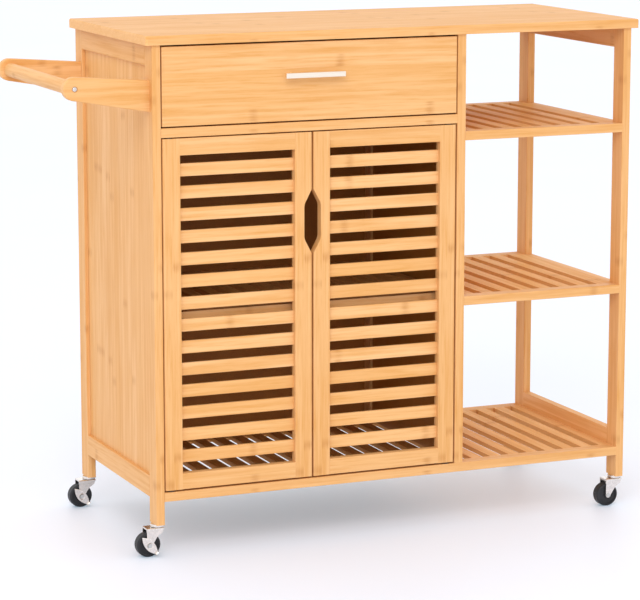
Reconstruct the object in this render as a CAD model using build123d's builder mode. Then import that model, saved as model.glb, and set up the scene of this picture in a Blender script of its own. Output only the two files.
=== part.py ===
from build123d import *
import os
from math import cos, radians, sin

# A bamboo kitchen cart on castors: a worktop over a cabinet with one drawer and two louvred doors,
# an open bay of slatted shelves on the right and a push handle on the left.
# X runs along the cart from the handle, Y from front to rear, Z up from the floor, in millimetres.
# The origin is on the floor, under the middle of the cart's outline.

# Overall sizes
total_height = 840
frame_depth = 382
cabinet_width = 516.5
bay_width = 293.5
top_thickness = 15
overhang_left = 11
overhang_right = 12.4
overhang_front = 4
overhang_back = 1
top_round = 2.5
top_corner_round = 4

# Frame timber
post_width = 14
post_depth = 34
divider_width = 15
board = 15
edge_round = 1
upper_rail_height = 34
lower_rail_height = 35
lower_rail_bottom = 93.5
bay_curb_height = 39.5

# Heights above the floor
floor_height = 106
drawer_opening_height = 131
upper_shelf_height = 665
lower_shelf_height = 389
cabinet_shelf_height = 395

# Panels held in grooves
panel_thickness = 5
panel_recess = 6
back_thickness = 4
back_recess = 6
groove_depth = 5
groove_clearance = 0.15

# Shelf rails and their slats, which lie flush with the rails on a ledge along each
shelf_rail_depth = 23
rear_bottom_rail_height = 12
slat_thickness = 8
slat_ledge = 5
slat_round = 0.6
floor_slat_count = 24
floor_slat_gap = 15
bay_slat_count = 6
bay_end_width = 29.5
bay_slat_gap = 15.5
cabinet_slat_count = 15
cabinet_slat_gap = 15
cabinet_shelf_setback = 24
cabinet_shelf_clearance = 0.5
shelf_cleat_width = 12

# Doors
door_side_gap = 2.2
door_middle_gap = 3.2
door_top_gap = 2
door_bottom_gap = 3
door_thickness = 15
stile_width = 29
door_top_rail = 27
door_bottom_rail = 26
hinge_edge_round = 3
louvre_count = 14
louvre_height = 20.6
louvre_thickness = 6
louvre_setback = 1.5
louvre_rise = 1.2
louvre_round = 1.5
tenon_length = 5
tenon_clearance = 0.1
cutout_half_width = 14.65
cutout_straight = 56
cutout_height = 111
cutout_round = 19
cutout_drop = 145

# Door pivots, catch and strike plates
pivot_inset = 12
pivot_radius = 2.5
pivot_in_door = 14
pivot_in_bush = 8
bush_radius = 4
bush_flange_radius = 6.5
bush_length = 10
bush_end_gap = 0.5
door_seat_gap = 0.4
running_clearance = 0.05
catch_length = 46
catch_height = 12
catch_depth = 13
strike_length = 16
strike_height = 10
strike_thickness = 1
strike_inset = 2
catch_gap = 0.4

# Drawer
drawer_side_gap = 2.2
drawer_top_gap = 3
drawer_bottom_gap = 2.4
drawer_front_thickness = 15
drawer_side_thickness = 12
drawer_box_gap = 3
drawer_box_head_gap = 19
drawer_box_lift = 12
drawer_rear_gap = 27
drawer_bottom_thickness = 4
drawer_bottom_lift = 5
runner_height = 12
runner_engagement = 5
runner_start = 30
runner_end_gap = 2
runner_top_gap = 0.3
runner_bottom_gap = 0.5
runner_side_gap = 0.5

# Drawer pull
pull_length = 103
pull_height = 8.5
pull_thickness = 5
pull_finger_gap = 11
pull_leg_spacing = 76
pull_leg_radius = 3.5
pull_drop = 52
pull_screw_radius = 2
pull_screw_bite = 8
pull_screw_head_radius = 4
pull_screw_head = 2.5

# Push handle
handle_reach = 141
arm_thickness = 15
arm_setback = 12.5
arm_root_height = 50
arm_root_drop = 56
arm_end_radius = 18.5
arm_round = 2
bar_radius = 11.5
bar_rise = 16
bar_screw_radius = 2.5
bar_screw_bite = 30
bar_screw_head_radius = 4.5
bar_screw_head = 2.2
bar_screw_sink = 2.4
arm_bolt_radius = 2.5
arm_bolt_bite = 30
arm_bolt_spacing = 26
arm_bolt_head_radius = 4.5
arm_bolt_head = 4
arm_bolt_sink = 5

# Castors
wheel_radius = 20
wheel_width = 17
wheel_crown_gap = 5.5
wheel_shoulder = 3
wheel_rim = 4
wheel_dish = 1.6
hub_radius = 6
hub_proud = 0.7
castor_trail = 17.5
axle_radius = 2.5
axle_head_radius = 3.6
axle_head = 1
fork_side_gap = 0.4
fork_thickness = 2
fork_top_thickness = 2.5
fork_end_radius = 4.5
fork_nose = 8
fork_nose_slant = 3
fork_skirt = 8
fork_throat_drop = 14
fork_throat_back = 4
fork_throat_round = 6
fork_bend_round = 1.6
swivel_gap = 0.3
swivel_radius = 3
swivel_head_radius = 5.5
swivel_head = 2
collar_radius = 12
collar_height = 4.7
collar_round = 1
stem_radius = 4
stem_length = 30
lever_thickness = 1.5
lever_half_length = 20
lever_bulge = 8
lever_slope = 49
lever_tip_round = 2
lever_gap = 0.3
pedal_width = 8
pedal_thickness = 1.6
pedal_depth = 5
pedal_distance = 17

# Places worked out from the sizes above
frame_width = 2 * post_width + cabinet_width + divider_width + bay_width
overall_length = handle_reach + frame_width + overhang_right
pull_projection = pull_finger_gap + pull_thickness
overall_depth = pull_projection + frame_depth + overhang_back
left = -overall_length / 2 + handle_reach
cabinet_left = left + post_width
cabinet_right = cabinet_left + cabinet_width
bay_left = cabinet_right + divider_width
bay_right = bay_left + bay_width
right = bay_right + post_width
front = -overall_depth / 2 + pull_projection
rear = front + frame_depth
inner_front = front + post_depth
inner_rear = rear - post_depth
top_under = total_height - top_thickness
castor_height = 2 * wheel_radius + wheel_crown_gap + fork_top_thickness + swivel_gap + collar_height
upper_rail_bottom = top_under - upper_rail_height
lower_rail_top = lower_rail_bottom + lower_rail_height
drawer_rail_top = top_under - drawer_opening_height
drawer_rail_bottom = drawer_rail_top - board
back_rear = rear - back_recess
back_front = back_rear - back_thickness

os.makedirs("parts", exist_ok=True)


def keep(piece, name):
    """Label a finished piece and write it."""
    piece.part.label = name
    export_step(piece.part, f"parts/{name}.step")


def block(low, high, mode=Mode.ADD):
    """A rectangular block between its lowest and highest corners."""
    size = [b - a for a, b in zip(low, high)]
    centre = [(a + b) / 2 for a, b in zip(low, high)]
    with Locations(Vector(*centre)):
        Box(*size, mode=mode)


def upright_plane(x, y):
    """A plane facing the front, with its own X along the cart and its own Y up."""
    return Plane((x, y, 0), x_dir=(1, 0, 0), z_dir=(0, -1, 0))


def rod(start, direction, radius, length, mode=Mode.ADD):
    """A round rod that starts at a point and runs along a direction."""
    with Locations(Plane(origin=start, z_dir=direction)):
        Cylinder(radius, length, align=(Align.CENTER, Align.CENTER, Align.MIN), mode=mode)


def bore(start, direction, rod_radius, length):
    """A hole for a rod of the given radius, wider by the running clearance."""
    rod(start, direction, rod_radius + running_clearance, length, mode=Mode.SUBTRACT)


# Worktop
with BuildPart() as worktop:
    block((left - overhang_left, front - overhang_front, top_under),
          (right + overhang_right, rear + overhang_back, total_height))
    fillet(worktop.edges().filter_by(Axis.Z), top_corner_round)
    fillet(worktop.faces().sort_by(Axis.Z)[-1].edges(), top_round)
keep(worktop, "worktop")

# Posts: each has a socket for a castor stem, and the left ones carry the side panel and the handle
side_panel_low = left + panel_recess
side_panel_high = side_panel_low + panel_thickness
front_arm_y = front + arm_setback + arm_thickness / 2
rear_arm_y = rear - arm_setback - arm_thickness / 2
arm_root_top = top_under - arm_root_drop
arm_root_bottom = arm_root_top - arm_root_height
arm_middle = (arm_root_bottom + arm_root_top) / 2
bar_height = arm_middle + bar_rise
arm_bolt_heights = [arm_middle - arm_bolt_spacing / 2, arm_middle + arm_bolt_spacing / 2]
post_middles = {
    "front_left": (left + post_width / 2, front + post_depth / 2),
    "rear_left": (left + post_width / 2, rear - post_depth / 2),
    "front_right": (right - post_width / 2, front + post_depth / 2),
    "rear_right": (right - post_width / 2, rear - post_depth / 2),
}


def cut_side_panel_groove(low, high):
    """The groove for the left side panel, between two points along Y and Z."""
    block((side_panel_low - groove_clearance, low[0], low[1]),
          (side_panel_high + groove_clearance, high[0], high[1]), mode=Mode.SUBTRACT)


def cut_back_groove(x_low, x_high):
    """The groove for the cabinet's back panel in the upright beside it."""
    block((x_low, back_front - groove_clearance, floor_height),
          (x_high, back_rear + groove_clearance, upper_rail_bottom), mode=Mode.SUBTRACT)


for name, (x, y) in post_middles.items():
    with BuildPart() as post:
        block((x - post_width / 2, y - post_depth / 2, castor_height),
              (x + post_width / 2, y + post_depth / 2, top_under))
        fillet(post.edges().filter_by(Axis.Z), edge_round)
        bore((x, y, castor_height), (0, 0, 1), stem_radius, stem_length)
        if name.endswith("left"):
            low = lower_rail_top - groove_depth
            high = upper_rail_bottom + groove_depth
            if name.startswith("front"):
                arm_y = front_arm_y
                cut_side_panel_groove((inner_front - groove_depth, low), (inner_front, high))
            else:
                arm_y = rear_arm_y
                cut_side_panel_groove((inner_rear, low), (inner_rear + groove_depth, high))
                cut_back_groove(cabinet_left - groove_depth, cabinet_left)
            for z in arm_bolt_heights:
                bore((left, arm_y, z), (1, 0, 0), arm_bolt_radius, post_width)
                bore((cabinet_left, arm_y, z), (-1, 0, 0), arm_bolt_head_radius, arm_bolt_sink)
    keep(post, f"{name}_post")

# Side rails between the posts: the left pair is grooved for the side panel, and on the right
# one lies beside each bay shelf and the lowest is a curb beside the bay's floor
with BuildPart() as left_side_rails:
    for low, high in ((lower_rail_bottom, lower_rail_top), (upper_rail_bottom, top_under)):
        block((left, inner_front, low), (cabinet_left, inner_rear, high))
    fillet(left_side_rails.edges().filter_by(Axis.Y), edge_round)
    cut_side_panel_groove((inner_front, lower_rail_top - groove_depth), (inner_rear, lower_rail_top))
    cut_side_panel_groove((inner_front, upper_rail_bottom),
                          (inner_rear, upper_rail_bottom + groove_depth))
keep(left_side_rails, "left_side_rails")

right_rail_spans = [
    (lower_rail_bottom, lower_rail_bottom + bay_curb_height),
    (lower_shelf_height - board, lower_shelf_height),
    (upper_shelf_height - board, upper_shelf_height),
    (upper_rail_bottom, top_under),
]
with BuildPart() as right_side_rails:
    for low, high in right_rail_spans:
        block((bay_right, inner_front, low), (right, inner_rear, high))
    fillet(right_side_rails.edges().filter_by(Axis.Y), edge_round)
keep(right_side_rails, "right_side_rails")

with BuildPart() as left_side_panel:
    block((side_panel_low, inner_front - groove_depth, lower_rail_top - groove_depth),
          (side_panel_high, inner_rear + groove_depth, upper_rail_bottom + groove_depth))
keep(left_side_panel, "left_side_panel")

# Divider between the cabinet and the bay
divider_panel_low = cabinet_right + (divider_width - panel_thickness) / 2
divider_panel_high = divider_panel_low + panel_thickness
with BuildPart() as divider_uprights:
    block((cabinet_right, front, floor_height), (bay_left, inner_front, top_under))
    block((cabinet_right, inner_rear, floor_height), (bay_left, rear, top_under))
    fillet(divider_uprights.edges().filter_by(Axis.Z), edge_round)
    block((divider_panel_low - groove_clearance, inner_front - groove_depth, floor_height),
          (divider_panel_high + groove_clearance, inner_rear + groove_depth, top_under),
          mode=Mode.SUBTRACT)
    cut_back_groove(cabinet_right, cabinet_right + groove_depth)
keep(divider_uprights, "divider_uprights")

with BuildPart() as divider_panel:
    block((divider_panel_low, inner_front - groove_depth, floor_height),
          (divider_panel_high, inner_rear + groove_depth, top_under))
keep(divider_panel, "divider_panel")

# Shelf rails: flat boards with a ledge on the inner edge, under the slat ends
pivot_y = front + door_thickness / 2
pivot_places = {
    "left": cabinet_left + door_side_gap + pivot_inset,
    "right": cabinet_right - door_side_gap - pivot_inset,
}


def shelf_rail(x_low, x_high, outer_y, inward, z_top, height=board):
    """A shelf rail; inward is 1 where the slats lie behind it and -1 where they lie in front."""
    shoulder = outer_y + inward * shelf_rail_depth
    ledge = shoulder + inward * slat_ledge
    z_low = z_top - height
    block((x_low, min(outer_y, shoulder), z_low), (x_high, max(outer_y, shoulder), z_top))
    block((x_low, min(shoulder, ledge), z_low), (x_high, max(shoulder, ledge), z_top - slat_thickness))


with BuildPart() as front_bottom_rail:
    shelf_rail(cabinet_left, bay_right, front, 1, floor_height)
    fillet(front_bottom_rail.edges().filter_by(Axis.X).group_by(Axis.Y)[0], edge_round)
    for x in pivot_places.values():
        bore((x, pivot_y, floor_height), (0, 0, -1), bush_radius, bush_length + bush_end_gap)
keep(front_bottom_rail, "front_bottom_rail")

with BuildPart() as rear_bottom_rail:
    shelf_rail(cabinet_left, bay_right, rear, -1, floor_height, rear_bottom_rail_height)
    fillet(rear_bottom_rail.edges().filter_by(Axis.X).group_by(Axis.Y)[-1], edge_round)
keep(rear_bottom_rail, "rear_bottom_rail")

with BuildPart() as drawer_rail:
    block((cabinet_left, front, drawer_rail_bottom), (cabinet_right, inner_front, drawer_rail_top))
    fillet(drawer_rail.edges().filter_by(Axis.X).group_by(Axis.Y)[0], edge_round)
    for x in pivot_places.values():
        bore((x, pivot_y, drawer_rail_bottom), (0, 0, 1), bush_radius, bush_length + bush_end_gap)
keep(drawer_rail, "drawer_rail")

with BuildPart() as rear_top_rails:
    block((cabinet_left, rear - board, upper_rail_bottom), (cabinet_right, rear, top_under))
    block((bay_left, rear - board, upper_rail_bottom), (bay_right, rear, top_under))
    fillet(rear_top_rails.edges().filter_by(Axis.X).group_by(Axis.Y)[-1], edge_round)
keep(rear_top_rails, "rear_top_rails")

with BuildPart() as back_panel:
    block((cabinet_left - groove_depth, back_front, floor_height),
          (cabinet_right + groove_depth, back_rear, upper_rail_bottom))
keep(back_panel, "back_panel")


# Slats, which run from front to rear
def slat_plane(rear_end, shelf_top):
    """The plane of the slats' rear ends, facing the front, at half the slat's thickness."""
    return Plane((0, rear_end, shelf_top - slat_thickness / 2), x_dir=(1, 0, 0), z_dir=(0, -1, 0))


def even_slats(x_low, x_high, count, gap):
    """The width and the middles of equal slats that fill a span."""
    width = (x_high - x_low - (count - 1) * gap) / count
    return width, [x_low + width / 2 + i * (width + gap) for i in range(count)]


slat_rear = rear - shelf_rail_depth
slat_span = slat_rear - (front + shelf_rail_depth)
floor_slat_width, floor_slat_middles = even_slats(cabinet_left, bay_right,
                                                  floor_slat_count, floor_slat_gap)
with BuildPart() as floor_slats:
    with BuildSketch(slat_plane(slat_rear, floor_height)):
        with Locations([(x, 0) for x in floor_slat_middles]):
            RectangleRounded(floor_slat_width, slat_thickness, slat_round)
    extrude(amount=slat_span)
keep(floor_slats, "floor_slats")

# Open bay: two shelves, each with a front and a rear rail and a wide slat at each end
with BuildPart() as bay_shelf_rails:
    for z in (lower_shelf_height, upper_shelf_height):
        shelf_rail(bay_left, bay_right, front, 1, z)
        shelf_rail(bay_left, bay_right, rear, -1, z)
    rail_edges = bay_shelf_rails.edges().filter_by(Axis.X).group_by(Axis.Y)
    fillet(rail_edges[0] + rail_edges[-1], edge_round)
keep(bay_shelf_rails, "bay_shelf_rails")

bay_slat_width, bay_slat_middles = even_slats(bay_left + bay_end_width + bay_slat_gap,
                                              bay_right - bay_end_width - bay_slat_gap,
                                              bay_slat_count, bay_slat_gap)
with BuildPart() as bay_shelf_slats:
    for z in (lower_shelf_height, upper_shelf_height):
        with BuildSketch(slat_plane(slat_rear, z)):
            with Locations([(x, 0) for x in bay_slat_middles]):
                RectangleRounded(bay_slat_width, slat_thickness, slat_round)
            with Locations((bay_left + bay_end_width / 2, 0), (bay_right - bay_end_width / 2, 0)):
                RectangleRounded(bay_end_width, slat_thickness, slat_round)
        extrude(amount=slat_span)
keep(bay_shelf_slats, "bay_shelf_slats")

# Cabinet shelf on two cleats, set back behind the doors
shelf_left = cabinet_left + cabinet_shelf_clearance
shelf_right = cabinet_right - cabinet_shelf_clearance
shelf_front = front + cabinet_shelf_setback
shelf_rear = back_front - cabinet_shelf_clearance
with BuildPart() as cabinet_shelf_rails:
    shelf_rail(shelf_left, shelf_right, shelf_front, 1, cabinet_shelf_height)
    shelf_rail(shelf_left, shelf_right, shelf_rear, -1, cabinet_shelf_height)
    fillet(cabinet_shelf_rails.edges().filter_by(Axis.X).group_by(Axis.Y)[0], edge_round)
keep(cabinet_shelf_rails, "cabinet_shelf_rails")

cabinet_slat_width, cabinet_slat_middles = even_slats(shelf_left, shelf_right,
                                                      cabinet_slat_count, cabinet_slat_gap)
with BuildPart() as cabinet_shelf_slats:
    with BuildSketch(slat_plane(shelf_rear - shelf_rail_depth, cabinet_shelf_height)):
        with Locations([(x, 0) for x in cabinet_slat_middles]):
            RectangleRounded(cabinet_slat_width, slat_thickness, slat_round)
    extrude(amount=shelf_rear - shelf_front - 2 * shelf_rail_depth)
keep(cabinet_shelf_slats, "cabinet_shelf_slats")

cleat_top = cabinet_shelf_height - board
with BuildPart() as shelf_cleats:
    for x in (cabinet_left, cabinet_right - shelf_cleat_width):
        block((x, shelf_front, cleat_top - board), (x + shelf_cleat_width, shelf_rear, cleat_top))
keep(shelf_cleats, "shelf_cleats")

# Push handle: two tapered arms on the left posts, with a round bar between them
arm_end_x = left - handle_reach + arm_end_radius
front_arm_outer = front + arm_setback
front_arm_inner = front_arm_outer + arm_thickness
rear_arm_outer = rear - arm_setback
rear_arm_inner = rear_arm_outer - arm_thickness
for name, outer, inward in (("front", front_arm_outer, 1), ("rear", rear_arm_outer, -1)):
    arm_y = outer + inward * arm_thickness / 2
    with BuildPart() as arm:
        with BuildSketch(upright_plane(0, arm_y + arm_thickness / 2)):
            with BuildLine():
                CenterArc((arm_end_x, bar_height), arm_end_radius, 0, 360)
                Line((left, arm_root_bottom), (left, arm_root_top))
            make_hull()
        extrude(amount=arm_thickness)
        outline = arm.faces().filter_by(Axis.Y).edges()
        fillet([edge for edge in outline if edge.center().X < left - edge_round], arm_round)
        bore((arm_end_x, outer, bar_height), (0, inward, 0), bar_screw_radius, arm_thickness)
        bore((arm_end_x, outer, bar_height), (0, inward, 0), bar_screw_head_radius, bar_screw_sink)
        for z in arm_bolt_heights:
            bore((left, arm_y, z), (-1, 0, 0), arm_bolt_radius, arm_bolt_bite)
    keep(arm, f"handle_{name}_arm")

with BuildPart() as handle_bar:
    rod((arm_end_x, front_arm_inner, bar_height), (0, 1, 0), bar_radius, rear_arm_inner - front_arm_inner)
    bore((arm_end_x, front_arm_inner, bar_height), (0, 1, 0), bar_screw_radius, bar_screw_bite)
    bore((arm_end_x, rear_arm_inner, bar_height), (0, -1, 0), bar_screw_radius, bar_screw_bite)
keep(handle_bar, "handle_bar")

with BuildPart() as handle_screws:
    for outer, inward in ((front_arm_outer, 1), (rear_arm_outer, -1)):
        seat = outer + inward * bar_screw_sink
        rod((arm_end_x, seat, bar_height), (0, inward, 0), bar_screw_radius,
            arm_thickness - bar_screw_sink + bar_screw_bite)
        rod((arm_end_x, seat, bar_height), (0, -inward, 0), bar_screw_head_radius, bar_screw_head)
keep(handle_screws, "handle_screws")

with BuildPart() as handle_bolts:
    seat = cabinet_left - arm_bolt_sink
    for y in (front_arm_y, rear_arm_y):
        for z in arm_bolt_heights:
            rod((seat, y, z), (-1, 0, 0), arm_bolt_radius, seat - left + arm_bolt_bite)
            rod((seat, y, z), (1, 0, 0), arm_bolt_head_radius, arm_bolt_head)
keep(handle_bolts, "handle_bolts")

# Doors: stiles and rails, with flat louvres in mortises and a finger cut-out at the meeting edge
door_front = front
door_rear = front + door_thickness
door_bottom = floor_height + door_bottom_gap
door_top = drawer_rail_bottom - door_top_gap
door_width = (cabinet_width - 2 * door_side_gap - door_middle_gap) / 2
meeting_x = (cabinet_left + cabinet_right) / 2
opening_bottom = door_bottom + door_bottom_rail
opening_top = door_top - door_top_rail
louvre_gap = (opening_top - opening_bottom - louvre_count * louvre_height) / (louvre_count + 1)
louvre_pitch = louvre_height + louvre_gap
louvre_middle = (opening_bottom + opening_top) / 2 + louvre_rise
louvre_y = door_rear - louvre_setback - louvre_thickness / 2
cutout_centre_height = door_top - cutout_drop


def louvre_plane(x):
    """A plane facing along the cart, at the middle of the column of louvres."""
    return Plane((x, louvre_y, louvre_middle), x_dir=(0, 1, 0), z_dir=(1, 0, 0))


for name, opening_edge, inward in (("left", cabinet_left, 1), ("right", cabinet_right, -1)):
    hinge_edge = opening_edge + inward * door_side_gap
    meeting_edge = hinge_edge + inward * door_width
    hinge_inner = hinge_edge + inward * stile_width
    meeting_inner = meeting_edge - inward * stile_width
    opening_left = min(hinge_inner, meeting_inner)
    opening_right = max(hinge_inner, meeting_inner)
    pivot_x = pivot_places[name]

    with BuildPart() as hinge_stile:
        block((min(hinge_edge, hinge_inner), door_front, door_bottom),
              (max(hinge_edge, hinge_inner), door_rear, door_top))
        stile_edges = hinge_stile.edges().filter_by(Axis.Z).sort_by(Axis.X, reverse=inward < 0)
        fillet(stile_edges[:2], hinge_edge_round)
        with BuildSketch(louvre_plane(opening_left - tenon_length if inward > 0 else opening_right)):
            with GridLocations(1, louvre_pitch, 1, louvre_count):
                Rectangle(louvre_thickness + 2 * tenon_clearance, louvre_height + 2 * tenon_clearance)
        extrude(amount=tenon_length, mode=Mode.SUBTRACT)
        bore((pivot_x, pivot_y, door_bottom), (0, 0, 1), pivot_radius, pivot_in_door)
        bore((pivot_x, pivot_y, door_top), (0, 0, -1), pivot_radius, pivot_in_door)
    keep(hinge_stile, f"{name}_door_hinge_stile")

    with BuildPart() as meeting_stile:
        block((min(meeting_edge, meeting_inner), door_front, door_bottom),
              (max(meeting_edge, meeting_inner), door_rear, door_top))
        fillet(meeting_stile.edges().filter_by(Axis.Z), edge_round)
        with BuildSketch(louvre_plane(opening_right if inward > 0 else opening_left - tenon_length)):
            with GridLocations(1, louvre_pitch, 1, louvre_count):
                Rectangle(louvre_thickness + 2 * tenon_clearance, louvre_height + 2 * tenon_clearance)
        extrude(amount=tenon_length, mode=Mode.SUBTRACT)
        with BuildSketch(upright_plane(meeting_x, door_rear)) as cutout:
            with Locations((0, cutout_centre_height)):
                Polygon((-cutout_half_width, -cutout_straight / 2), (0, -cutout_height / 2),
                        (cutout_half_width, -cutout_straight / 2),
                        (cutout_half_width, cutout_straight / 2),
                        (0, cutout_height / 2), (-cutout_half_width, cutout_straight / 2))
            fillet([v for v in cutout.vertices() if abs(v.X) > edge_round], cutout_round)
        extrude(amount=door_thickness, mode=Mode.SUBTRACT)
    keep(meeting_stile, f"{name}_door_meeting_stile")

    with BuildPart() as door_rails:
        block((opening_left, door_front, door_bottom), (opening_right, door_rear, opening_bottom))
        block((opening_left, door_front, opening_top), (opening_right, door_rear, door_top))
        fillet(door_rails.edges().filter_by(Axis.X), edge_round)
    keep(door_rails, f"{name}_door_rails")

    with BuildPart() as louvres:
        with BuildSketch(louvre_plane(opening_left - tenon_length)):
            with GridLocations(1, louvre_pitch, 1, louvre_count):
                RectangleRounded(louvre_thickness, louvre_height, louvre_round)
        extrude(amount=opening_right - opening_left + 2 * tenon_length)
    keep(louvres, f"{name}_door_louvres")

    strike_edge = meeting_edge - inward * strike_inset
    strike_far = strike_edge - inward * strike_length
    strike_top = door_top - strike_inset
    with BuildPart() as fittings:
        rod((pivot_x, pivot_y, door_bottom + pivot_in_door), (0, 0, -1), pivot_radius,
            pivot_in_door + door_bottom_gap + pivot_in_bush)
        rod((pivot_x, pivot_y, door_top - pivot_in_door), (0, 0, 1), pivot_radius,
            pivot_in_door + door_top_gap + pivot_in_bush)
        block((min(strike_edge, strike_far), door_rear, strike_top - strike_height),
              (max(strike_edge, strike_far), door_rear + strike_thickness, strike_top))
    keep(fittings, f"{name}_door_fittings")

# Flanged bushes in the two rails: the doors turn in them, and the lower flanges carry the doors
with BuildPart() as door_bushes:
    for x in pivot_places.values():
        for z, into_rail, gap in ((floor_height, -1, door_bottom_gap), (drawer_rail_bottom, 1, door_top_gap)):
            flange = gap - door_seat_gap
            rod((x, pivot_y, z), (0, 0, into_rail), bush_radius, bush_length)
            rod((x, pivot_y, z), (0, 0, -into_rail), bush_flange_radius, flange)
            bore((x, pivot_y, z - into_rail * flange), (0, 0, into_rail), pivot_radius, flange + bush_length)
keep(door_bushes, "door_bushes")

# Magnetic catch under the drawer rail, behind both strike plates
catch_front = door_rear + strike_thickness + catch_gap
with BuildPart() as door_catch:
    block((meeting_x - catch_length / 2, catch_front, drawer_rail_bottom - catch_height),
          (meeting_x + catch_length / 2, catch_front + catch_depth, drawer_rail_bottom))
    fillet(door_catch.edges().filter_by(Axis.Z), edge_round)
keep(door_catch, "door_catch")

# Drawer: a front on a box whose sides are grooved for the runners
drawer_left = cabinet_left + drawer_side_gap
drawer_right = cabinet_right - drawer_side_gap
drawer_bottom_edge = drawer_rail_top + drawer_bottom_gap
drawer_top_edge = top_under - drawer_top_gap
drawer_back_of_front = front + drawer_front_thickness
box_left = cabinet_left + drawer_box_gap
box_right = cabinet_right - drawer_box_gap
box_inner_left = box_left + drawer_side_thickness
box_inner_right = box_right - drawer_side_thickness
box_low = drawer_rail_top + drawer_box_lift
box_high = top_under - drawer_box_head_gap
box_rear = back_front - drawer_rear_gap
bottom_left = box_inner_left - groove_depth
bottom_right = box_inner_right + groove_depth
bottom_front = drawer_back_of_front - groove_depth
bottom_low = box_low + drawer_bottom_lift
bottom_high = bottom_low + drawer_bottom_thickness
runner_low = (box_low + box_high - runner_height) / 2
runner_high = runner_low + runner_height
pull_centre_x = (drawer_left + drawer_right) / 2
pull_centre_height = drawer_top_edge - pull_drop
pull_leg_middles = [pull_centre_x - pull_leg_spacing / 2, pull_centre_x + pull_leg_spacing / 2]


def cut_bottom_groove():
    """The groove around the drawer for its bottom board."""
    block((bottom_left, bottom_front, bottom_low - groove_clearance),
          (bottom_right, box_rear, bottom_high + groove_clearance), mode=Mode.SUBTRACT)


with BuildPart() as drawer_front:
    block((drawer_left, front, drawer_bottom_edge), (drawer_right, drawer_back_of_front, drawer_top_edge))
    fillet(drawer_front.faces().sort_by(Axis.Y)[0].edges(), edge_round)
    cut_bottom_groove()
    for x in pull_leg_middles:
        bore((x, front, pull_centre_height), (0, 1, 0), pull_screw_radius, drawer_front_thickness)
keep(drawer_front, "drawer_front")

with BuildPart() as drawer_box:
    block((box_left, drawer_back_of_front, box_low), (box_inner_left, box_rear, box_high))
    block((box_inner_right, drawer_back_of_front, box_low), (box_right, box_rear, box_high))
    cut_bottom_groove()
    for x_low, x_high in ((box_left, box_left + runner_engagement + runner_side_gap),
                          (box_right - runner_engagement - runner_side_gap, box_right)):
        block((x_low, drawer_back_of_front, runner_low - runner_bottom_gap),
              (x_high, box_rear, runner_high + runner_top_gap), mode=Mode.SUBTRACT)
keep(drawer_box, "drawer_sides")

with BuildPart() as drawer_back:
    block((box_inner_left, box_rear - drawer_side_thickness, bottom_high),
          (box_inner_right, box_rear, box_high))
keep(drawer_back, "drawer_back")

with BuildPart() as drawer_bottom:
    block((bottom_left, bottom_front, bottom_low), (bottom_right, box_rear, bottom_high))
keep(drawer_bottom, "drawer_bottom")

with BuildPart() as drawer_runners:
    runner_rear = back_front - runner_end_gap
    runner_reach = drawer_box_gap + runner_engagement
    for x in (cabinet_left, cabinet_right - runner_reach):
        block((x, front + runner_start, runner_low), (x + runner_reach, runner_rear, runner_high))
keep(drawer_runners, "drawer_runners")

with BuildPart() as drawer_pull:
    with Locations((pull_centre_x, front - pull_finger_gap - pull_thickness / 2, pull_centre_height)):
        Box(pull_length, pull_thickness, pull_height)
    fillet(drawer_pull.edges(), edge_round)
    for x in pull_leg_middles:
        rod((x, front, pull_centre_height), (0, -1, 0), pull_leg_radius, pull_finger_gap)
        bore((x, front, pull_centre_height), (0, -1, 0), pull_screw_radius, pull_screw_bite)
keep(drawer_pull, "drawer_pull")

with BuildPart() as pull_screws:
    for x in pull_leg_middles:
        rod((x, drawer_back_of_front, pull_centre_height), (0, -1, 0), pull_screw_radius,
            drawer_front_thickness + pull_screw_bite)
        rod((x, drawer_back_of_front, pull_centre_height), (0, 1, 0),
            pull_screw_head_radius, pull_screw_head)
keep(pull_screws, "drawer_pull_screws")

# Castors: a stem in each post, a swivelling fork that trails towards the handle, an axle and a wheel
collar_bottom = castor_height - collar_height
fork_top = collar_bottom - swivel_gap
fork_plate_under = fork_top - fork_top_thickness
fork_inner = wheel_width / 2 + hub_proud + fork_side_gap
fork_outer = fork_inner + fork_thickness
swivel_head_top = fork_plate_under - swivel_gap
leg_near = -castor_trail + fork_end_radius
leg_far = -castor_trail - fork_end_radius
throat = (-fork_throat_back, fork_top - fork_throat_drop)
nose_foot = (fork_nose - fork_nose_slant, fork_top - fork_skirt)
lever_inner = fork_outer + lever_gap
lever_outer = lever_inner + lever_thickness

with BuildPart() as castor_stems:
    for x, y in post_middles.values():
        rod((x, y, collar_bottom), (0, 0, 1), collar_radius, collar_height)
        rod((x, y, castor_height), (0, 0, 1), stem_radius, stem_length)
        rod((x, y, collar_bottom), (0, 0, -1), swivel_radius, collar_bottom - swivel_head_top)
        rod((x, y, swivel_head_top), (0, 0, -1), swivel_head_radius, swivel_head)
    collar_edges = castor_stems.edges().filter_by(GeomType.CIRCLE)
    fillet([e for e in collar_edges if e.radius > swivel_head_radius], collar_round)
keep(castor_stems, "castor_stems")

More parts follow.
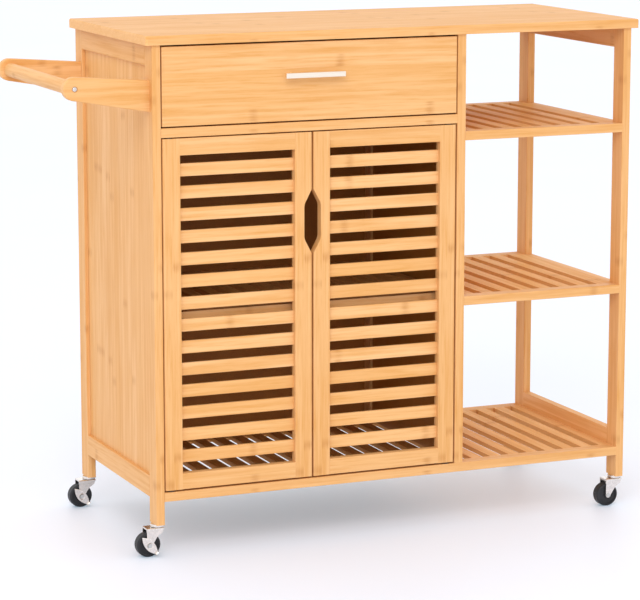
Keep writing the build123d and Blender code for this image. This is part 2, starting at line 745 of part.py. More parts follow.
for name, (x, y) in post_middles.items():
    axle_x = x - castor_trail
    braked = name.endswith("left")
    axle_front = lever_outer + lever_gap if braked else fork_outer

    with BuildPart() as fork:
        for leg_rear in (y - fork_inner, y + fork_outer):
            with BuildSketch(upright_plane(x, leg_rear)) as leg:
                with BuildLine():
                    Polyline((leg_near, wheel_radius), throat, nose_foot,
                             (fork_nose, fork_top), (leg_far, fork_top), (leg_far, wheel_radius))
                    ThreePointArc((leg_far, wheel_radius), (-castor_trail, wheel_radius - fork_end_radius),
                                  (leg_near, wheel_radius))
                make_face()
                bend = leg.vertices().sort_by_distance((throat[0], throat[1], 0))[0]
                fillet(bend, fork_throat_round)
            extrude(amount=fork_thickness)
        block((x + leg_far, y - fork_outer, fork_plate_under), (x + fork_nose, y + fork_outer, fork_top))
        top_edges = fork.edges().filter_by(Axis.X).group_by(Axis.Z)[-1]
        fillet(top_edges, fork_bend_round)
        bore((x, y, fork_plate_under), (0, 0, 1), swivel_radius, fork_top_thickness)
        bore((axle_x, y - fork_outer, wheel_radius), (0, 1, 0), axle_radius, 2 * fork_outer)
    keep(fork, f"{name}_castor_fork")

    with BuildPart() as axle:
        rod((axle_x, y - axle_front, wheel_radius), (0, 1, 0), axle_radius, axle_front + fork_outer)
        rod((axle_x, y - axle_front, wheel_radius), (0, -1, 0), axle_head_radius, axle_head)
        rod((axle_x, y + fork_outer, wheel_radius), (0, 1, 0), axle_head_radius, axle_head)
    keep(axle, f"{name}_castor_axle")

    wheel_plane = Plane((axle_x, y, wheel_radius), x_dir=(0, 1, 0), z_dir=(1, 0, 0))
    half = wheel_width / 2
    hub_half = half + hub_proud
    wheel_bore = axle_radius + running_clearance
    rim_radius = wheel_radius - wheel_rim
    with BuildPart() as wheel:
        with BuildSketch(wheel_plane) as section:
            Polygon((-hub_half, wheel_bore), (hub_half, wheel_bore),
                    (hub_half, hub_radius), (half - wheel_dish, hub_radius),
                    (half - wheel_dish, rim_radius), (half, rim_radius), (half, wheel_radius),
                    (-half, wheel_radius), (-half, rim_radius), (wheel_dish - half, rim_radius),
                    (wheel_dish - half, hub_radius), (-hub_half, hub_radius), align=None)
            fillet(section.vertices().sort_by(Axis.Y)[-2:], wheel_shoulder)
        revolve(axis=Axis((axle_x, y, wheel_radius), (0, 1, 0)))
    keep(wheel, f"{name}_castor_wheel")

    if braked:
        slope = Vector(cos(radians(lever_slope)), -sin(radians(lever_slope)))
        tip = slope * lever_half_length
        lever_plane = Plane((axle_x, y - lever_inner, wheel_radius), x_dir=(1, 0, 0), z_dir=(0, -1, 0))
        with BuildPart() as lever:
            with BuildSketch(lever_plane) as leaf:
                with BuildLine():
                    SagittaArc(-tip, tip, lever_bulge)
                    SagittaArc(tip, -tip, lever_bulge)
                make_face()
                fillet(leaf.vertices(), lever_tip_round)
            extrude(amount=lever_thickness)
            with BuildSketch(lever_plane):
                with Locations(slope * pedal_distance):
                    Rectangle(pedal_thickness, pedal_width, rotation=-lever_slope)
            extrude(amount=lever_thickness + pedal_depth)
            bore((axle_x, y - lever_outer, wheel_radius), (0, 1, 0), axle_radius, lever_thickness)
        keep(lever, f"{name}_brake_lever")
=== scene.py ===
from math import radians

import bpy
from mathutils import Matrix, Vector


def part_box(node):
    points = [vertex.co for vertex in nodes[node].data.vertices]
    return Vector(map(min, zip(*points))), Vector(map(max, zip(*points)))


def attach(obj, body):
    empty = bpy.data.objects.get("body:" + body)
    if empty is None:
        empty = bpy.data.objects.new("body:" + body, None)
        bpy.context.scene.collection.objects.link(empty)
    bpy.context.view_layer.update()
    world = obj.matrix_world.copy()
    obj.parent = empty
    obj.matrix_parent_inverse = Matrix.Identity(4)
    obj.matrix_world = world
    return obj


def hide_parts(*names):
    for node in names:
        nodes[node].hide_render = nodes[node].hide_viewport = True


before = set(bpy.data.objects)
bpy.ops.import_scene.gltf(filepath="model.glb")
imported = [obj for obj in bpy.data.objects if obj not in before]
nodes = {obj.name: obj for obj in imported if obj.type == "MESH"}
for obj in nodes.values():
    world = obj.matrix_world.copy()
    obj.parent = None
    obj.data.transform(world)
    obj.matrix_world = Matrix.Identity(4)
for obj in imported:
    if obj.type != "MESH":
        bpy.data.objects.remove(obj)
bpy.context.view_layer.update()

MM = 0.001


# Finishes

# The colour sockets of a Mix node
MIX_FIRST, MIX_SECOND, MIX_RESULT = 6, 7, 2


class Finish:
    """The nodes of one material, added and joined in short calls."""

    def __init__(self, name):
        self.material = bpy.data.materials.new(name)
        self.material.use_nodes = True
        self.tree = self.material.node_tree
        self.shader = self.tree.nodes["Principled BSDF"]
        self.surface = self.add("ShaderNodeTexCoord").outputs
        self.place = self.surface["Object"]

    def join(self, value, socket):
        """Link a socket, or set a plain value."""
        if isinstance(value, bpy.types.NodeSocket):
            self.tree.links.new(value, socket)
        else:
            socket.default_value = value

    def add(self, kind, settings=None, **inputs):
        """A node with its settings and its inputs, named by their sockets."""
        node = self.tree.nodes.new(kind)
        for key, value in (settings or {}).items():
            setattr(node, key, value)
        for key, value in inputs.items():
            self.join(value, node.inputs[key])
        return node

    def sum(self, operation, *values):
        """One step of arithmetic."""
        node = self.add("ShaderNodeMath", {"operation": operation})
        for value, socket in zip(values, node.inputs):
            self.join(value, socket)
        return node.outputs["Value"]

    def ramp(self, value, low, high, to_low=0.0, to_high=1.0):
        """A value brought smoothly from one range to another."""
        node = self.add("ShaderNodeMapRange", {"interpolation_type": "SMOOTHSTEP"}, Value=value)
        node.inputs["From Min"].default_value = low
        node.inputs["From Max"].default_value = high
        node.inputs["To Min"].default_value = to_low
        node.inputs["To Max"].default_value = to_high
        return node.outputs["Result"]

    def stretch(self, along, across, scales, drift):
        """A place along and across the grain, scaled for a streaked noise."""
        parts = [self.sum("MULTIPLY_ADD", along, scales[0], drift)]
        parts += [self.sum("MULTIPLY", distance, scales[1]) for distance in across]
        return self.vector(*parts)

    def vector(self, x, y, z):
        return self.add("ShaderNodeCombineXYZ", X=x, Y=y, Z=z).outputs["Vector"]

    def noise(self, place, scale=1.0, detail=3.0, roughness=0.55):
        return self.add("ShaderNodeTexNoise", Vector=place, Scale=scale, Detail=detail,
                        Roughness=roughness).outputs["Fac"]

    def random(self, place):
        """Three random values for each place."""
        colour = self.add("ShaderNodeTexWhiteNoise", Vector=place).outputs["Color"]
        return self.add("ShaderNodeSeparateColor", Color=colour).outputs

    def blend(self, share, first, second):
        """Two colours mixed by a share."""
        node = self.add("ShaderNodeMix", {"data_type": "RGBA"})
        self.join(share, node.inputs["Factor"])
        for colour, number in ((first, MIX_FIRST), (second, MIX_SECOND)):
            linked = isinstance(colour, bpy.types.NodeSocket)
            self.join(colour if linked else (*colour, 1), node.inputs[number])
        return node.outputs[MIX_RESULT]

    def relief(self, height, depth, strength):
        """A bump of the given depth."""
        bump = self.add("ShaderNodeBump", Strength=strength, Distance=depth, Height=height)
        self.join(bump.outputs["Normal"], self.shader.inputs["Normal"])

    def set(self, **inputs):
        """Values or links for the shader's own sockets."""
        for key, value in inputs.items():
            self.join(value, self.shader.inputs[key.replace("_", " ")])


# Bamboo's colours
STRAW = (0.775, 0.412, 0.149)
HONEY = (0.668, 0.300, 0.069)
PALE = (0.835, 0.490, 0.225)
KNUCKLE = (0.480, 0.190, 0.046)
# painted shade: the brown put on faces and boards inside the cabinet
SHADE_BROWN = (0.420, 0.150, 0.020)

# Scales of bamboo's noises, along the grain and across it, and how far they slide from strip to strip
BAND_SCALES = (3.0, 95.0)
STREAK_SCALES = (12.0, 270.0)
FIBRE_SCALES = (42.0, 1150.0)
STRIP_SLIDE = 40.0
CLOUD_SCALE = 6.0
PORE_SCALE = 1100.0

# Bamboo's knuckles, glue seams and grain depth in metres, and the share of strips without knuckles
KNUCKLE_SPACING = 0.31
KNUCKLE_REACH = 0.012
KNUCKLE_WANDER = 0.010
PLAIN_STRIPS = 0.50
SEAM_SHADE = 0.0007
SEAM_GROOVE = 0.0004
GRAIN_DEPTH = 0.00010

# How far a normal leans to an axis where a face starts to face that way, and where it does so fully
LEAN = (0.75, 0.95)


def bamboo(name, grain, widths, start, gloss=0.15, sawn_edges=0, raw_side=0, dim_until=0):
    """Lacquered bamboo laminated from strips that run along one axis: grain is that axis, widths are
    the strips' sizes across it, start is a corner where strips begin, and gloss is the lacquer's shine.
    Faces along X, the slats' walls in the gaps between them, get painted shade by sawn_edges; the face on
    the side of raw_side, towards the inside of the cabinet, gets painted shade in brown; and boards before
    dim_until on X get painted shade for the inside of the cabinet."""
    f = Finish(name)
    axes = f.add("ShaderNodeSeparateXYZ", Vector=f.place).outputs
    order = {"X": "XYZ", "Y": "YXZ", "Z": "ZXY"}[grain]
    along = axes[order[0]]
    cells = []
    seams = []
    across = []
    for axis, width in zip(order[1:], widths):
        distance = f.sum("SUBTRACT", axes[axis], start["XYZ".index(axis)])
        across.append(distance)
        count = f.sum("DIVIDE", distance, width)
        cells.append(f.sum("FLOOR", count))
        seams.append(f.sum("MULTIPLY", f.sum("PINGPONG", count, 0.5), width))
    tone, phase, kind = f.random(f.vector(*cells, 0.0))[:3]

    drift = f.sum("MULTIPLY", tone, STRIP_SLIDE)
    bands = f.noise(f.stretch(along, across, BAND_SCALES, drift), detail=2.0)
    streaks = f.noise(f.stretch(along, across, STREAK_SCALES, drift), detail=4.0, roughness=0.58)
    fibres = f.noise(f.stretch(along, across, FIBRE_SCALES, drift), detail=2.0)
    clouds = f.noise(f.place, scale=CLOUD_SCALE, detail=2.0)

    wander = f.sum("MULTIPLY_ADD", streaks, KNUCKLE_WANDER, along)
    turn = f.sum("FRACT", f.sum("MULTIPLY_ADD", wander, 1 / KNUCKLE_SPACING, phase))
    reach = f.sum("MULTIPLY", f.sum("ABSOLUTE", f.sum("SUBTRACT", turn, 0.5)), KNUCKLE_SPACING)
    shown = f.sum("GREATER_THAN", kind, PLAIN_STRIPS)
    knuckle = f.sum("MULTIPLY", f.ramp(reach, 0.0, KNUCKLE_REACH, 1.0, 0.0), shown)

    colour = f.blend(tone, STRAW, PALE)
    colour = f.blend(f.ramp(bands, 0.38, 0.66, 0.0, 0.65), colour, HONEY)
    colour = f.blend(f.ramp(streaks, 0.44, 0.72, 0.0, 0.70), colour, HONEY)
    colour = f.blend(f.ramp(fibres, 0.35, 0.70, 0.0, 0.22), colour, PALE)
    colour = f.blend(f.ramp(clouds, 0.35, 0.70, 0.0, 0.25), colour, PALE)
    colour = f.blend(f.sum("MULTIPLY", knuckle, f.ramp(streaks, 0.34, 0.60, 0.12, 0.42)), colour, KNUCKLE)
    seam = f.sum("MINIMUM", *seams)
    colour = f.blend(f.ramp(seam, 0.0, SEAM_SHADE, 0.09, 0.0), colour, KNUCKLE)
    facing = f.add("ShaderNodeSeparateXYZ", Vector=f.surface["Normal"]).outputs
    end_grain = f.ramp(f.sum("ABSOLUTE", facing[grain]), *LEAN, 0.0, 0.65)
    pores = f.noise(f.place, scale=PORE_SCALE, detail=1.0)
    colour = f.blend(end_grain, colour, f.blend(f.ramp(pores, 0.42, 0.66), PALE, STRAW))
    # painted shade: faces along X, the slats' walls in the gaps between them, are darkened towards knuckle
    # brown
    if sawn_edges:
        sawn = f.ramp(f.sum("ABSOLUTE", facing["X"]), *LEAN, 0.0, sawn_edges)
        colour = f.blend(sawn, colour, KNUCKLE)
    # painted shade: the face towards the inside of the cabinet is painted brown
    if raw_side:
        raw = f.ramp(f.sum("MULTIPLY", facing["X"], raw_side), *LEAN, 0.0, 0.9)
        colour = f.blend(raw, colour, SHADE_BROWN)
    # painted shade: boards inside the cabinet are darkened towards brown
    if dim_until:
        colour = f.blend(f.ramp(axes["X"], dim_until - MM, dim_until, 0.6, 0.0), colour, SHADE_BROWN)

    f.set(Base_Color=colour, Roughness=f.ramp(fibres, 0.25, 0.75, 0.40, 0.54), Specular_IOR_Level=gloss)
    height = f.sum("ADD", f.sum("MULTIPLY", fibres, 0.35), f.ramp(seam, 0.0, SEAM_GROOVE))
    f.relief(f.sum("ADD", height, f.sum("MULTIPLY", streaks, 0.5)), GRAIN_DEPTH, 0.5)
    return f.material


def hardboard():
    """Brown pressed board with a short flecked fibre."""
    f = Finish("hardboard")
    flecks = f.noise(f.place, scale=420.0, detail=4.0, roughness=0.7)
    mottle = f.noise(f.place, scale=14.0)
    colour = f.blend(f.ramp(flecks, 0.35, 0.70), (0.410, 0.140, 0.017), (0.500, 0.190, 0.028))
    colour = f.blend(f.ramp(mottle, 0.35, 0.70, 0.0, 0.35), colour, (0.370, 0.125, 0.014))
    f.set(Base_Color=colour, Roughness=f.ramp(flecks, 0.3, 0.7, 0.55, 0.72))
    f.relief(flecks, 0.00015, 0.4)
    return f.material


def metal(name, colour, smooth, rough, line_scale):
    """Bright metal with fine drawn lines, whose roughness runs from smooth to rough."""
    f = Finish(name)
    lines = f.noise(f.add("ShaderNodeMapping", Vector=f.place, Scale=line_scale).outputs["Vector"])
    smudge = f.ramp(f.noise(f.place, scale=60.0), 0.4, 0.8, 0.0, 0.06)
    shade = tuple(0.86 * part for part in colour)
    f.set(Base_Color=f.blend(f.ramp(lines, 0.3, 0.7), colour, shade), Metallic=1.0,
          Roughness=f.sum("ADD", f.ramp(lines, 0.3, 0.7, smooth, rough), smudge))
    f.relief(lines, 0.00002, 0.5)
    return f.material


def moulded(name, colour, light, smooth, rough, gloss):
    """Moulded rubber or plastic with a fine skin, mottled between a colour and a lighter one."""
    f = Finish(name)
    skin = f.noise(f.place, scale=900.0, detail=2.0)
    mottle = f.noise(f.place, scale=45.0)
    f.set(Base_Color=f.blend(f.ramp(mottle, 0.35, 0.70), colour, light),
          Roughness=f.ramp(skin, 0.3, 0.7, smooth, rough), Specular_IOR_Level=gloss)
    f.relief(skin, 0.00005, 0.4)
    return f.material


chrome = metal("castor_chrome", (0.82, 0.77, 0.735), smooth=0.14, rough=0.24, line_scale=(300, 300, 300))
zinc = metal("zinc_plate", (0.62, 0.62, 0.61), smooth=0.22, rough=0.34, line_scale=(400, 400, 400))
satin = metal("satin_pull", (0.95, 0.84, 0.715), smooth=0.28, rough=0.40, line_scale=(25, 1600, 1600))
tread = moulded("wheel_tread", (0.014, 0.014, 0.016), (0.024, 0.024, 0.027),
                smooth=0.42, rough=0.56, gloss=0.32)
brown_plastic = moulded("brown_plastic", (0.060, 0.027, 0.011), (0.082, 0.038, 0.016),
                        smooth=0.40, rough=0.52, gloss=0.40)


def dress(names, material):
    """Give CAD nodes their finish."""
    for name in names:
        mesh = nodes[name].data
        mesh.materials.clear()
        mesh.materials.append(material)


def board(names, grain, widths_mm, lead_mm=(0, 0, 0), **look):
    """Bamboo for one family of boards, with its strips' widths across the grain counted from a lead
    before the first board's corner."""
    widths = [width * MM for width in widths_mm]
    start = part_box(names[0])[0] - Vector(lead_mm) * MM
    dress(names, bamboo(f"bamboo_{names[0]}", grain, widths, tuple(start), **look))


corners = ["front_left", "rear_left", "front_right", "rear_right"]
brakes = ["front_left", "rear_left"]
hands = ["left", "right"]

board(["worktop"], "X", (22, 5), gloss=0.10)
board(["drawer_front"], "X", (5, 21))
board(["front_bottom_rail", "rear_bottom_rail"], "X", (17, 7.5))
board(["drawer_rail", "rear_top_rails"], "X", (17, 7.5))
board(["bay_shelf_rails"], "X", (17, 15))
board(["cabinet_shelf_rails", "drawer_back"], "X", (17, 15))
board(["front_left_post", "rear_left_post"], "Z", (7, 17))
board(["front_right_post", "rear_right_post"], "Z", (7, 17))
board(["divider_uprights"], "Z", (7.5, 17))
# painted shade: these panels' faces towards the inside of the cabinet are painted brown
board(["left_side_panel"], "Z", (5.2, 20), raw_side=1)
board(["divider_panel"], "Z", (5.2, 20), raw_side=-1)
board(["left_side_rails", "right_side_rails", "drawer_runners", "drawer_sides", "shelf_cleats"],
      "Y", (7, 20))
# painted shade: the slats' walls in the gaps between them are darkened
board(["floor_slats"], "Y", (35, 20), (7.5, 0, 6), gloss=0.03, sawn_edges=0.42,
      # painted shade: the floor slats inside the cabinet are darkened towards brown
      dim_until=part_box("divider_panel")[0].x)
board(["bay_shelf_slats"], "Y", (36.5, 20), (0, 0, 6), gloss=0.03, sawn_edges=0.42)
# painted shade: all of the cabinet's shelf slats are darkened towards brown
board(["cabinet_shelf_slats"], "Y", (35.367, 20), (7.5, 0, 6), gloss=0.03, dim_until=1)
board(["handle_front_arm", "handle_rear_arm"], "X", (7.5, 15))
board(["handle_bar"], "Y", (12, 12))
for hand in hands:
    board([f"{hand}_door_hinge_stile"], "Z", (14.5, 15))
    board([f"{hand}_door_meeting_stile"], "Z", (14.5, 15))
    board([f"{hand}_door_rails"], "X", (15, 13.5))
    board([f"{hand}_door_louvres"], "X", (15, 35.707), (0, 4, 7.5))

dress(["back_panel", "drawer_bottom"], hardboard())
dress(["drawer_pull"], satin)
dress(["castor_stems"] + [f"{corner}_castor_fork" for corner in corners], chrome)
dress([f"{corner}_brake_lever" for corner in brakes], chrome)
dress([f"{corner}_castor_axle" for corner in corners], zinc)
dress([f"{corner}_castor_wheel" for corner in corners], tread)
dress(["door_bushes", "door_catch"], brown_plastic)
dress(["handle_bolts", "handle_screws", "drawer_pull_screws"], zinc)
dress([f"{hand}_door_fittings" for hand in hands], zinc)


# Modelling by hand: each piece starts as a primitive and is shaped in edit mode or by modifiers

SMOOTH_BELOW = radians(35)
SHARP_ABOVE = radians(40)
# How squarely a face looks along an axis to be picked by it
SQUARE = 0.9


def take(*pieces):
    """Select these pieces alone, the first one active."""
    bpy.ops.object.select_all(action="DESELECT")
    for piece in pieces:
        piece.select_set(True)
    bpy.context.view_layer.objects.active = pieces[0]


def settle(piece):
    """Put a piece's place, turn and scale into its mesh."""
    take(piece)
    bpy.ops.object.transform_apply(location=True, rotation=True, scale=True)
    return piece


def disc(radius, height, foot, sides=48):
    """A round blank that stands on its foot."""
    bpy.ops.object.select_all(action="DESELECT")
    bpy.ops.mesh.primitive_cylinder_add(vertices=sides, radius=radius, depth=height,
                                        location=Vector(foot) + Vector((0, 0, height / 2)))
    return settle(bpy.context.object)


def blank(low, high):
    """A square blank between two corners."""
    low, high = Vector(low), Vector(high)
    bpy.ops.object.select_all(action="DESELECT")
    bpy.ops.mesh.primitive_cube_add(size=1, location=(low + high) / 2)
    bpy.context.object.scale = high - low
    return settle(bpy.context.object)


def finish_with(piece, kind, **settings):
    """Add a modifier and apply it."""
    modifier = piece.modifiers.new(kind.lower(), kind)
    for key, value in settings.items():
        setattr(modifier, key, value)
    take(piece)
    bpy.ops.object.modifier_apply(modifier=modifier.name)
    return piece


def carve(piece, tool, operation="DIFFERENCE"):
    """Cut a piece with another, or unite or intersect them; the tool is used up."""
    finish_with(piece, "BOOLEAN", object=tool, operation=operation, solver="EXACT")
    bpy.data.objects.remove(tool)
    return piece


def soften(piece, width, segments=2):
    """Round off the sharp edges."""
    return finish_with(piece, "BEVEL", width=width, segments=segments, limit_method="ANGLE",
                       angle_limit=SHARP_ABOVE)


def edit_faces(piece, wanted):
    """Enter edit mode with the faces that pass a test selected."""
    take(piece)
    bpy.ops.object.mode_set(mode="EDIT")
    bpy.ops.mesh.select_mode(type="FACE")
    bpy.ops.mesh.select_all(action="DESELECT")
    bpy.ops.object.mode_set(mode="OBJECT")
    for face in piece.data.polygons:
        face.select = wanted(face)
    bpy.ops.object.mode_set(mode="EDIT")


def leave_edit():
    bpy.ops.object.mode_set(mode="OBJECT")


def smooth(piece):
    """Shade a piece smoothly, except at its sharp edges."""
    take(piece)
    bpy.ops.object.shade_smooth_by_angle(angle=SMOOTH_BELOW)
    return piece


def paint(piece, material):
    piece.data.materials.clear()
    piece.data.materials.append(material)
    return piece


def screw(head_radius, head_height, shank_radius, shank_length, recess):
    """A screw along Z with its head on the seat at zero and a hexagon socket or a cross recess, which
    are shares of the head's size, as its bevels are."""
    head = disc(head_radius, head_height, (0, 0, 0))
    edit_faces(head, lambda face: face.normal.z > SQUARE)
    bpy.ops.mesh.inset(thickness=0.25 * head_radius)
    bpy.ops.transform.translate(value=(0, 0, 0.10 * head_height))
    leave_edit()
    soften(head, 0.14 * head_height, 3)
    if recess == "hexagon":
        carve(head, disc(0.52 * head_radius, head_height, (0, 0, 0.40 * head_height), 6))
    else:
        long, wide = 0.62 * head_radius, 0.15 * head_radius
        for x, y in ((long, wide), (wide, long)):
            carve(head, blank((-x, -y, 0.45 * head_height), (x, y, 2 * head_height)))
    shank = disc(shank_radius, shank_length, (0, 0, -shank_length), 24)
    edit_faces(shank, lambda face: face.normal.z < -SQUARE)
    bpy.ops.mesh.inset(thickness=0.4 * shank_radius)
    leave_edit()
    soften(shank, 0.25 * shank_radius)
    take(head, shank)
    bpy.ops.object.join()
    return smooth(head)


def set_copies(model, name, places, facing, body, node=None):
    """Copies of a model, each with its own mesh, turned to face one way and fixed to a body."""
    for number, place in enumerate(places, 1):
        take(model)
        bpy.ops.object.duplicate()
        piece = bpy.context.object
        piece.name = f"{name}_{number}"
        piece.rotation_euler = Vector(facing).to_track_quat("Z", "Y").to_euler()
        piece.location = place
        settle(piece)
        if node:
            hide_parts(node)
        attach(piece, body)


# Screws: the handle bar's in the arms' ends, the arms' inside the posts, the pull's inside the drawer
# and the strike plates' on the doors' backs
low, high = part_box("handle_screws")
model = paint(screw(head_radius=3.5 * MM, head_height=2.0 * MM, shank_radius=2.5 * MM,
                    shank_length=40 * MM, recess="hexagon"), chrome)
head_room = 2.2 * MM
bar_end = Vector(((low.x + high.x) / 2, 0, (low.z + high.z) / 2))
for hand, y, way in (("front", low.y, -1), ("rear", high.y, 1)):
    seat = bar_end + Vector((0, y - way * head_room, 0))
    set_copies(model, f"handle_{hand}_screw", [seat], (0, way, 0), "cart_frame", "handle_screws")
bpy.data.objects.remove(model)

low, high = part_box("handle_bolts")
model = paint(screw(head_radius=4.45 * MM, head_height=3.6 * MM, shank_radius=2.5 * MM,
                    shank_length=36 * MM, recess="hexagon"), zinc)
head_room = 4 * MM
reach = 4.5 * MM
rows = (low.y + reach, high.y - reach)
heights = (low.z + reach, high.z - reach)
set_copies(model, "handle_bolt", [(high.x - head_room, y, z) for y in rows for z in heights],
           (1, 0, 0), "cart_frame", "handle_bolts")
bpy.data.objects.remove(model)

low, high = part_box("drawer_pull_screws")
model = paint(screw(head_radius=3.95 * MM, head_height=2.2 * MM, shank_radius=2 * MM,
                    shank_length=22 * MM, recess="cross"), zinc)
head_room = 2.5 * MM
reach = 4 * MM
set_copies(model, "pull_screw",
           [(x, high.y - head_room, (low.z + high.z) / 2) for x in (low.x + reach, high.x - reach)],
           (0, 1, 0), "drawer", "drawer_pull_screws")
bpy.data.objects.remove(model)

PLATE_INSET = 10 * MM
PLATE_RISE = 3 * MM
PLATE_SCREWS = (-4.5 * MM, 4.5 * MM)
model = paint(screw(head_radius=2.1 * MM, head_height=0.24 * MM, shank_radius=1 * MM,
                    shank_length=8 * MM, recess="cross"), zinc)
head_room = 0.10 * MM
for hand in hands:
    plate_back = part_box(f"{hand}_door_fittings")[1].y
    stile_low, stile_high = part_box(f"{hand}_door_meeting_stile")
    middle = stile_high.x - PLATE_INSET if hand == "left" else stile_low.x + PLATE_INSET
    plate_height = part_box("door_catch")[0].z + PLATE_RISE
    set_copies(model, f"{hand}_strike_screw",
               [(middle + step, plate_back - head_room, plate_height) for step in PLATE_SCREWS],
               (0, 1, 0), f"{hand}_door")
bpy.data.objects.remove(model)


# Brake levers: a pressed leaf with a raised ring round the axle and a tab for the toe
LEAF_HALF_LENGTH = 19.6 * MM
LEAF_BULGE = 7.9 * MM
LEAF_THICKNESS = 1.5 * MM
LEAF_ROUND = 0.3 * MM
LEAF_SLOPE = radians(49)
LEAF_SIDES = 160
RECESS_HALF_LENGTH = 16.6 * MM
RECESS_BULGE = 6.5 * MM
RECESS_FLOOR = 1.0 * MM
RING_RADIUS = 5.2 * MM
RING_HEIGHT = 1.55 * MM
RING_RIM = 0.9 * MM
RING_DISH = 0.45 * MM
AXLE_HOLE_RADIUS = 2.6 * MM
TAB_START = 16.2 * MM
TAB_END = 17.6 * MM
TAB_HALF_WIDTH = 3.9 * MM
TAB_KNEE = 2.6 * MM
TAB_STEPS = 3
TAB_STEP = (0.05 * MM, 0, 1.25 * MM)
TAB_NARROWING = 0.95
TAB_ROUND = 0.5 * MM
# How deep the ring and the tab stand in the leaf, and how far a tool reaches past it
ROOT = 0.2 * MM
PAST = 2 * MM


def leaf_blank(half_length, bulge, foot, thickness):
    """A pointed leaf, where two wide discs overlap."""
    radius = (half_length ** 2 + bulge ** 2) / (2 * bulge)
    leaf = disc(radius, thickness, (0, radius - bulge, foot), LEAF_SIDES)
    other = disc(radius, thickness * 3, (0, bulge - radius, foot - thickness), LEAF_SIDES)
    return carve(leaf, other, "INTERSECT")


def brake_lever():
    """A lever that lies in the XY plane, its outer face up, with the axle at the origin and the toe
    tab towards +X."""
    leaf = soften(leaf_blank(LEAF_HALF_LENGTH, LEAF_BULGE, 0, LEAF_THICKNESS), LEAF_ROUND)
    carve(leaf, leaf_blank(RECESS_HALF_LENGTH, RECESS_BULGE, RECESS_FLOOR, PAST))
    ring = disc(RING_RADIUS, RING_HEIGHT, (0, 0, ROOT))
    edit_faces(ring, lambda face: face.normal.z > SQUARE)
    bpy.ops.mesh.inset(thickness=RING_RIM)
    bpy.ops.transform.translate(value=(0, 0, -RING_DISH))
    leave_edit()
    carve(leaf, ring, "UNION")
    tab = blank((TAB_START, -TAB_HALF_WIDTH, ROOT), (TAB_END, TAB_HALF_WIDTH, TAB_KNEE))
    edit_faces(tab, lambda face: face.normal.z > SQUARE)
    for _ in range(TAB_STEPS):
        bpy.ops.mesh.extrude_region_move(TRANSFORM_OT_translate={"value": TAB_STEP})
        bpy.ops.transform.resize(value=(1, TAB_NARROWING, 1))
    leave_edit()
    carve(leaf, soften(tab, TAB_ROUND, 3), "UNION")
    carve(leaf, disc(AXLE_HOLE_RADIUS, 3 * PAST, (0, 0, -PAST)))
    return paint(smooth(leaf), chrome)


model = brake_lever()
for corner in brakes:
    outer_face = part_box(f"{corner}_brake_lever")[1].y
    axle_low, axle_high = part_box(f"{corner}_castor_axle")
    take(model)
    bpy.ops.object.duplicate()
    piece = bpy.context.object
    piece.name = f"{corner}_pressed_brake_lever"
    piece.rotation_euler = (radians(90), LEAF_SLOPE, 0)
    piece.location = ((axle_low.x + axle_high.x) / 2, outer_face, (axle_low.z + axle_high.z) / 2)
    settle(piece)
    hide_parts(f"{corner}_brake_lever")
    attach(piece, f"{corner}_brake")
bpy.data.objects.remove(model)


# Door catch: a moulded case with two pole strips in its mouth
CASE_WALL = 1.6 * MM
CASE_MOUTH = 2.5 * MM
CASE_ROUND = 0.8 * MM
POLE_INSET = 3.0 * MM
POLE_THICKNESS = 1.6 * MM
POLE_SETBACK = 0.2 * MM
POLE_REACH = 4 * MM
POLE_ROUND = 0.3 * MM

low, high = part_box("door_catch")
case = blank(low, high)
edit_faces(case, lambda face: face.normal.y < -SQUARE)
bpy.ops.mesh.inset(thickness=CASE_WALL)
bpy.ops.mesh.extrude_region_move(TRANSFORM_OT_translate={"value": (0, CASE_MOUTH, 0)})
leave_edit()
smooth(soften(case, CASE_ROUND, 3))
case.name = "catch_case"
paint(case, brown_plastic)
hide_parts("door_catch")
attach(case, "cart_frame")
for number, z in enumerate((low.z + POLE_INSET, high.z - POLE_INSET - POLE_THICKNESS), 1):
    strip = blank((low.x + POLE_INSET, low.y + POLE_SETBACK, z),
                  (high.x - POLE_INSET, low.y + POLE_REACH, z + POLE_THICKNESS))
    edit_faces(strip, lambda face: face.normal.y < -SQUARE)
    bpy.ops.mesh.inset(thickness=POLE_ROUND)
    leave_edit()
    soften(strip, POLE_ROUND)
    strip.name = f"catch_pole_{number}"
    paint(strip, zinc)
    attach(strip, "cart_frame")


# Stage: floor, light and camera

FLOOR_SIZE = 80
FLOOR_TONES = ((0.729, 0.674, 0.706), (0.739, 0.684, 0.716))
FLOOR_GLOW = (0.455, 0.797, 1.0, 1)
# The upward lean of a sight line, 0 level and 1 straight up, where the walls end and at the ceiling
WALL_TOP, CEILING = 0.3, 1.0
CAMERA_PLACE = (-1.8089, -4.2420, 1.2026)
CAMERA_DIP = 10.285
CAMERA_TURN = -23.107
CAMERA_LENS = 155.29


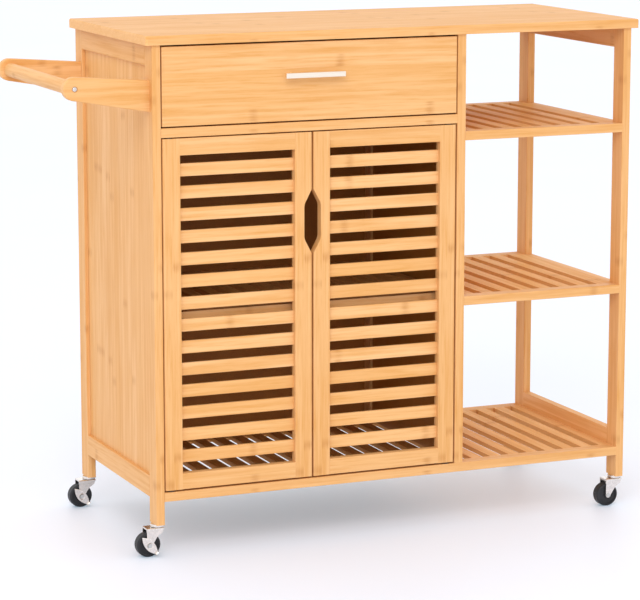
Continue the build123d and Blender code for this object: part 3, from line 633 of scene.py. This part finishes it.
def stage_floor():
    """A wide pale floor, lit faintly from below like a photographer's table."""
    bpy.ops.object.select_all(action="DESELECT")
    bpy.ops.mesh.primitive_plane_add(size=FLOOR_SIZE, location=(0, FLOOR_SIZE / 4, 0))
    floor = settle(bpy.context.object)
    floor.name = "floor"
    f = Finish("pale_floor")
    clouds = f.noise(f.place, scale=1.5)
    f.set(Base_Color=f.blend(f.ramp(clouds, 0.3, 0.7), *FLOOR_TONES), Roughness=0.5, Specular_IOR_Level=0.4,
          Emission_Color=FLOOR_GLOW, Emission_Strength=0.256)
    floor.data.materials.append(f.material)


def soft_light(name, place, aim, size, power, tint):
    """A square soft box that faces a point."""
    lamp = bpy.data.lights.new(name, "AREA")
    lamp.shape = "SQUARE"
    lamp.size = size
    lamp.energy = power
    lamp.color = tint
    holder = bpy.data.objects.new(name, lamp)
    bpy.context.scene.collection.objects.link(holder)
    holder.location = place
    holder.rotation_euler = (Vector(aim) - Vector(place)).to_track_quat("-Z", "Y").to_euler()


def white_room(walls, ceiling):
    """Even white light from all round, with walls brighter than the ceiling."""
    world = bpy.data.worlds.new("white_room")
    world.use_nodes = True
    tree = world.node_tree
    aim = tree.nodes.new("ShaderNodeTexCoord").outputs["Generated"]
    rise = tree.nodes.new("ShaderNodeSeparateXYZ")
    tree.links.new(aim, rise.inputs["Vector"])
    glow = tree.nodes.new("ShaderNodeMapRange")
    glow.interpolation_type = "SMOOTHSTEP"
    glow.inputs["From Min"].default_value = WALL_TOP
    glow.inputs["From Max"].default_value = CEILING
    glow.inputs["To Min"].default_value = walls
    glow.inputs["To Max"].default_value = ceiling
    tree.links.new(rise.outputs["Z"], glow.inputs["Value"])
    tree.links.new(glow.outputs["Result"], tree.nodes["Background"].inputs["Strength"])
    tree.nodes["Background"].inputs["Color"].default_value = (1, 1, 1, 1)
    bpy.context.scene.world = world


def photo_camera():
    """The camera at the photograph's viewing angle."""
    lens = bpy.data.cameras.new("photo_camera")
    lens.lens = CAMERA_LENS
    lens.sensor_width = 36
    lens.clip_end = 200
    holder = bpy.data.objects.new("photo_camera", lens)
    bpy.context.scene.collection.objects.link(holder)
    holder.location = CAMERA_PLACE
    holder.rotation_euler = (radians(90 - CAMERA_DIP), 0, radians(CAMERA_TURN))
    bpy.context.scene.camera = holder


stage_floor()
white_room(walls=1.25, ceiling=0.95)
soft_light("key", place=(-1.9, -3.4, 3.3), aim=(0, 0, 0.4), size=2.2, power=75, tint=(0.94, 0.97, 1.0))
photo_camera()
bpy.context.scene.view_settings.view_transform = "Standard"
